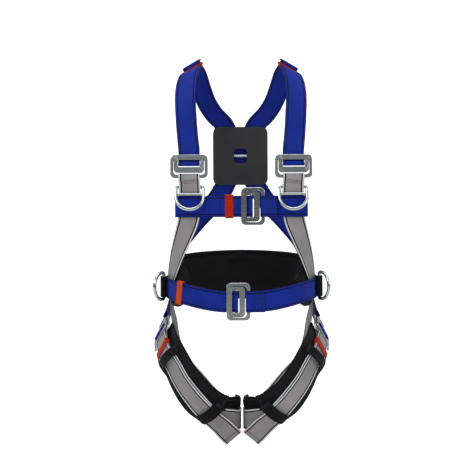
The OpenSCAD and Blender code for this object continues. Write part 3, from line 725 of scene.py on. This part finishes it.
# ---------------------------------------------------------------- loops of elastic or tape
def box_frame(points):
    """Centre and the three main directions of a box-like node, longest first, with half sizes."""
    centre = (points.max(0) + points.min(0)) / 2
    for _ in range(3):
        axes = np.linalg.svd(points - centre, full_matrices=False)[2]
        local = (points - centre) @ axes.T
        centre = centre + ((local.max(0) + local.min(0)) / 2) @ axes
    local = (points - centre) @ axes.T
    half = (local.max(0) - local.min(0)) / 2
    order = np.argsort(-half)
    return centre, axes[order], half[order]


LOOP_BEND = 2.6 * MM
LOOP_SAG = 0.35 * MM


def loop_band(name, centre, axes, half, wall, node, material):
    """Closed band round a strap: axes are across, along and out of the strap."""
    across, along, out = axes
    hb, hw, hc = half
    r = min(hc, LOOP_BEND) - wall / 2
    bx, by = hb - wall / 2 - r, hc - wall / 2 - r
    outline = []
    for cx, cy, a0 in ((bx, by, 0), (-bx, by, 90), (-bx, -by, 180), (bx, -by, 270)):
        outline += zip(arc(cx, cy, r, a0, a0 + 90, 6), np.linspace(a0, a0 + 90, 6))
    dense = []
    for (p, a), (q, b) in zip(outline, outline[1:] + outline[:1]):
        gap = math.hypot(q[0] - p[0], q[1] - p[1])
        count = max(1, int(gap / (2.5 * MM)))
        for t in np.arange(count) / count:
            long_side = gap > 10 * MM
            sag = LOOP_SAG * math.sin(math.pi * t) if long_side else 0.0
            turn = math.radians(a if long_side else a + ((b - a) % 360) * t)
            dense.append((p[0] + (q[0] - p[0]) * t, p[1] + (q[1] - p[1]) * t, turn, sag))
    rows = []
    for x, y, turn, sag in dense:
        normal = across * math.cos(turn) + out * math.sin(turn)
        rows.append((centre + across * x + out * y - normal * sag, along, normal))
    ribs = max(5, int(2 * hw / (1.2 * MM)))
    edge = wall / 2
    top = [(hw - edge - (2 * hw - 2 * edge) * i / ribs, edge * (1.0 if i % 2 else 0.82))
           for i in range(ribs + 1)]
    profile = top + arc(-hw + edge, 0, edge * 0.8, 120, 240, 4)
    profile += [(-hw + edge, -edge), (hw - edge, -edge)] + arc(hw - edge, 0, edge * 0.8, -60, 60, 4)
    profile = profile[::-1]
    obj = sweep(name, rows, profile, closed=True, u_of=[x for x, _ in profile])
    return finish_piece(obj, node, material)


def build_keeper(node):
    """Elastic loop in place of its CAD node: its longest side lies across the strap."""
    points, _ = merged(node)
    centre, axes, half = box_frame(points)
    obj = loop_band(node + "_elastic", centre, axes, half, 1.5 * MM, node,
                    MATERIALS[SLOT_OF[node]])
    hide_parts(node)


def build_belt_loops():
    """The black tape loops that hold the belt on its pad."""
    points, near = merged("belt_loops")
    for i, group in enumerate(groups(range(len(points)), near)):
        centre, axes, half = box_frame(points[group])
        loop_band(f"belt_loop_{i + 1}", centre, axes, half, 1.2 * MM, "belt_loops",
                              MATERIALS["black_webbing"])
    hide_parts("belt_loops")


# ---------------------------------------------------------------- pads
PAD_COLUMNS = 22
PAD_PLUMP = 0.72
SWELL_FRAMES = 20
SWELL_PRESSURE = 4.0
SWELL_GROWTH = 0.06
SWELL_CAP = 2.2 * MM


def pad_outline(count, plump):
    """Closed outline of a pad's section, in shares of its half width and half thickness."""
    xs = [math.cos(math.pi * i / count) for i in range(count + 1)]
    loop = [(x, plump * (1 - abs(x) ** 5) + 0.12) for x in xs]
    loop += [(x, -plump * (1 - abs(x) ** 5) - 0.12) for x in xs[::-1]]
    return loop


def quilted(node, name, seams):
    """A pad sewn along lengthwise channels, swollen between them by a cloth simulation."""
    path = sections(node, PAD_CORNERS).away_from(wearer_side(node)).smooth(PAD_STEP).eased(14)
    loop = pad_outline(PAD_COLUMNS, PAD_PLUMP)
    m, n = len(loop), len(path.c)
    verts, pinned = [], []
    for i in range(n):
        end = min(i, n - 1 - i)
        taper = min(1.0, 0.25 + 0.25 * end)
        for j, (x, y) in enumerate(loop):
            dip = min((abs(abs(x) - s) for s in seams), default=1.0)
            thin = 0.35 + 0.65 * min(1.0, dip / 0.16)
            verts.append(path.c[i] + path.w[i] * x * 0.985 + path.n[i] * y * taper * thin)
            if dip < 0.05 or abs(x) > 0.96 or end < 2:
                pinned.append(i * m + j)
    faces = [(i * m + j, i * m + (j + 1) % m, (i + 1) * m + (j + 1) % m, (i + 1) * m + j)
             for i in range(n - 1) for j in range(m)]
    for i, turn in ((0, -1), (n - 1, 1)):
        half = m // 2
        for j in range(half - 1):
            quad = (i * m + j, i * m + j + 1, i * m + m - 2 - j, i * m + m - 1 - j)
            faces.append(quad[::turn])
    obj = new_object(name, verts, faces)
    swell(obj, pinned)
    sub = obj.modifiers.new("round", "SUBSURF")
    sub.levels = sub.render_levels = 1
    finish_piece(obj, node, MATERIALS["pad_cloth"])
    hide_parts(node)
    return path


def swell(obj, pinned):
    """Cloth simulation with pressure; the seams are pinned, and no point moves past SWELL_CAP."""
    scene = bpy.context.scene
    start = np.array([v.co for v in obj.data.vertices])
    group = obj.vertex_groups.new(name="seams")
    group.add(pinned, 1.0, "REPLACE")
    mod = obj.modifiers.new("cloth", "CLOTH")
    cloth = mod.settings
    cloth.vertex_group_mass = "seams"
    cloth.quality = 5
    cloth.mass = 0.25
    cloth.tension_stiffness = cloth.compression_stiffness = 12
    cloth.shear_stiffness = 4
    cloth.bending_stiffness = 0.4
    cloth.shrink_min = -SWELL_GROWTH
    cloth.use_pressure = True
    cloth.uniform_pressure_force = SWELL_PRESSURE
    cloth.effector_weights.gravity = 0
    for f in range(1, SWELL_FRAMES + 1):
        scene.frame_set(f)
    dg = bpy.context.evaluated_depsgraph_get()
    moved = np.array([v.co for v in obj.evaluated_get(dg).data.vertices])
    obj.modifiers.remove(mod)
    scene.frame_set(1)
    push = moved - start
    size = np.linalg.norm(push, axis=1, keepdims=True)
    push *= np.minimum(1.0, SWELL_CAP / np.maximum(size, 1e-9))
    obj.data.vertices.foreach_set("co", (start + push).astype(np.float32).ravel())
    obj.vertex_groups.clear()
    obj.data.update()


def wearer_side(node):
    """A point inside the wearer, level with the pad."""
    lo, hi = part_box(node)
    if "thigh" in node:
        lo2, hi2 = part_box(node.replace("thigh_pad", "leg_strap"))
        return np.array([(lo2.x + hi2.x) / 2, (lo2.y + hi2.y) / 2, (lo.z + hi.z) / 2])
    return np.array([0, (lo.y + hi.y) / 2, (lo.z + hi.z) / 2])


# the tape folded over a pad's edge: how far it grips, half the pad's edge, its own thickness
GRIP, EDGE_HALF, TAPE = 8 * MM, 1.4 * MM, 0.9 * MM


def pad_edge(path):
    """Rows (edge point, inward direction, outward normal) once round the edge of a pad."""
    last, spread = len(path.c) - 1, np.linspace(1, -1, 7)[1:-1]
    out = unit(path.n)
    sides = [[(path.c[i] + sign * path.w[i], -sign * unit(path.w[i]), out[i])
              for i in range(last + 1)][::sign] for sign in (1, -1)]
    ends = [[(path.c[i] + sign * x * path.w[i], unit(path.c[i - sign] - path.c[i]), out[i])
             for x in spread] for i, sign in ((last, 1), (0, -1))]
    return sides[0] + ends[0] + sides[1] + ends[1]


def binding(name, edge, node):
    """Tape folded over the pad's edge, all the way round."""
    face = EDGE_HALF + TAPE
    rim = EDGE_HALF + TAPE * 0.7
    outer = [(GRIP, rim), (GRIP * 0.5, face), (1.2 * MM, face)]
    outer += arc(1.0 * MM, 0, face, 90, 270, 7)[1:-1]
    outer += [(1.2 * MM, -face), (GRIP * 0.5, -face), (GRIP, -rim)]
    gap, depth = EDGE_HALF * 0.4, 2.0 * MM
    inner = [(GRIP, -gap), (depth, -gap), (depth, gap), (GRIP, gap)]
    obj = sweep(name, edge, outer + inner, closed=True)
    finish_piece(obj, node, MATERIALS["black_webbing"])


def edge_stitches(name, edge):
    """A row of stitches along a binding, on its outer face."""
    pts = np.array([at + inward * GRIP * 0.78 + out * (EDGE_HALF + TAPE)
                    for at, inward, out in edge])
    step = np.linalg.norm(np.diff(pts, axis=0), axis=1)
    run = np.concatenate([[0], np.cumsum(step)])
    count = int(run[-1] / (STITCH + STITCH_GAP + 0.6 * MM))
    places = []
    for i in range(count):
        s = (i + 0.5) / count * run[-1]
        k = min(int(np.searchsorted(run, s)) - 1, len(step) - 1)
        if step[k] < 1e-6:
            continue
        p = pts[k] + (pts[k + 1] - pts[k]) * (s - run[k]) / step[k]
        along = unit(pts[k + 1] - pts[k])
        out = unit(edge[k][2] - along * (edge[k][2] @ along))
        places.append((p, along, out))
    stitch_mesh(name, places, THREAD["slate"])


def build_pads():
    """The three pads, each with its bound and stitched edge."""
    for node, seam_at in (("waist_pad", 0.52), ("thigh_pad_left", 0.6), ("thigh_pad_right", 0.6)):
        edge = pad_edge(quilted(node, node + "_quilt", (seam_at,)))
        binding(node + "_binding", edge, node)
        edge_stitches(node + "_stitches", edge)


# ---------------------------------------------------------------- metal and plastic
BEVEL = {"pressed_steel": 1.1 * MM, "plate_plastic": 0.9 * MM}


def dress_metal():
    """CAD metal and plastic with their materials; pressed steel and plastic get bevelled edges."""
    for node, obj in NODES.items():
        slot = SLOT_OF[node]
        if slot != "forged_steel" and slot not in BEVEL:
            continue
        obj.data.materials.clear()
        obj.data.materials.append(MATERIALS[slot])
        if slot in BEVEL:
            weld = obj.modifiers.new("weld", "WELD")
            weld.merge_threshold = 0.01 * MM
            bevel = obj.modifiers.new("edges", "BEVEL")
            bevel.width = BEVEL[slot]
            bevel.segments = 3
            bevel.limit_method = "ANGLE"
            bevel.angle_limit = math.radians(40)


# ---------------------------------------------------------------- studio
def paper():
    """Seamless white paper: it photographs white, yet throws little light back on the harness."""
    sh = Shader("paper")
    grain = sh.noise(sh.place(), 3.0, 6.0)
    colour = sh.mix(grain, rgba(0.66, 0.66, 0.665), rgba(0.7, 0.7, 0.7))
    sh.put(sh.bsdf.inputs["Base Color"], colour)
    sh.bsdf.inputs["Roughness"].default_value = 0.9
    sh.bsdf.inputs["Specular IOR Level"].default_value = 0.1
    sh.bsdf.inputs["Emission Color"].default_value = (1, 1, 1, 1)
    seen = sh.add("LightPath").outputs["Is Camera Ray"]
    sh.put(sh.bsdf.inputs["Emission Strength"], sh.math("MULTIPLY_ADD", seen, 0.66, 0.04))
    return sh.mat


def sweep_floor():
    """Pale floor that curves up behind."""
    floor_z = cad_box[0].z - 0.012
    rows = [(-3.5, 0.0), (1.6, 0.0)]
    rows += [(1.6 + 0.9 * math.sin(a), 0.9 - 0.9 * math.cos(a))
             for a in np.linspace(0.1, math.pi / 2, 10)]
    rows += [(2.5, 4.0)]
    verts = [(x, y, floor_z + z) for y, z in rows for x in (-4.5, 4.5)]
    faces = [(2 * i, 2 * i + 1, 2 * i + 3, 2 * i + 2) for i in range(len(rows) - 1)]
    floor = new_object("floor", verts, faces)
    floor.data.materials.append(paper())


def lamp(name, place, size, power, mirrored=True):
    """Soft square light aimed at the middle of the harness; metal can be kept from mirroring it."""
    light = bpy.data.lights.new(name, "AREA")
    light.size = size
    light.energy = power
    obj = bpy.data.objects.new(name, light)
    bpy.context.scene.collection.objects.link(obj)
    obj.location = place
    obj.visible_glossy = mirrored
    aim = Vector((0, -0.1, -0.15)) - Vector(place)
    obj.rotation_mode = "QUATERNION"
    obj.rotation_quaternion = aim.to_track_quat("-Z", "Y")


def room():
    """Dim room that is brighter overhead, so bright metal has something dark to reflect."""
    world = bpy.data.worlds.new("studio")
    bpy.context.scene.world = world
    world.use_nodes = True
    tree = world.node_tree
    back = tree.nodes["Background"]
    coord = tree.nodes.new("ShaderNodeTexCoord")
    split = tree.nodes.new("ShaderNodeSeparateXYZ")
    ramp = tree.nodes.new("ShaderNodeValToRGB")
    tree.links.new(coord.outputs["Generated"], split.inputs[0])
    remap = tree.nodes.new("ShaderNodeMapRange")
    remap.inputs["From Min"].default_value = -1.0
    tree.links.new(split.outputs[2], remap.inputs["Value"])
    tree.links.new(remap.outputs[0], ramp.inputs["Fac"])
    stops = ramp.color_ramp.elements
    stops[0].color = (0.05, 0.05, 0.055, 1)
    stops[1].color = (1.0, 1.0, 1.0, 1)
    for at, tone in ((0.42, 0.10), (0.55, 0.26), (0.72, 0.75)):
        stops.new(at).color = (tone, tone * 1.02, tone * 1.04, 1)
    tree.links.new(ramp.outputs[0], back.inputs["Color"])
    back.inputs["Strength"].default_value = 0.75
    pale = tree.nodes.new("ShaderNodeBackground")
    pale.inputs["Color"].default_value = (0.93, 0.93, 0.935, 1)
    seen = tree.nodes.new("ShaderNodeLightPath")
    both = tree.nodes.new("ShaderNodeMixShader")
    tree.links.new(seen.outputs["Is Camera Ray"], both.inputs[0])
    tree.links.new(back.outputs[0], both.inputs[1])
    tree.links.new(pale.outputs[0], both.inputs[2])
    tree.links.new(both.outputs[0], tree.nodes["World Output"].inputs["Surface"])


def studio():
    """Floor, six soft lamps and the room round them."""
    sweep_floor()
    lamp("key", (-1.5, -2.4, 1.5), 1.2, 26)
    lamp("fill", (1.9, -2.1, 0.5), 1.0, 11)
    lamp("top", (0.0, -0.4, 2.1), 1.6, 22)
    lamp("low", (-0.4, -2.2, -0.75), 1.0, 9, mirrored=False)
    lamp("rim_left", (-2.0, 0.9, 0.5), 0.8, 10)
    lamp("rim_right", (2.0, 0.9, 0.5), 0.8, 10)
    room()
    bpy.context.scene.view_settings.view_transform = "Standard"


def camera():
    """Level view of the wearer's front from 2.3 m, with the lens shifted to frame it."""
    data = bpy.data.cameras.new("camera")
    data.sensor_width = 36.0
    data.lens = 80.2
    data.shift_y = -0.0386
    cam = bpy.data.objects.new("camera", data)
    bpy.context.scene.collection.objects.link(cam)
    cam.location = (-0.018, -2.453, -0.124)
    cam.rotation_euler = (math.radians(90), math.radians(0.3), 0)
    bpy.context.scene.camera = cam


# ---------------------------------------------------------------- build
for web_node in WEB_NODES:
    build_web(web_node)
for keeper_node in [n for n in NODES if "keeper" in n]:
    build_keeper(keeper_node)
build_belt_loops()
build_pads()
sew_chest()
sew_belt()
sew_tails()
sew_hips()
sew_sleeves()
dress_metal()
studio()
camera()
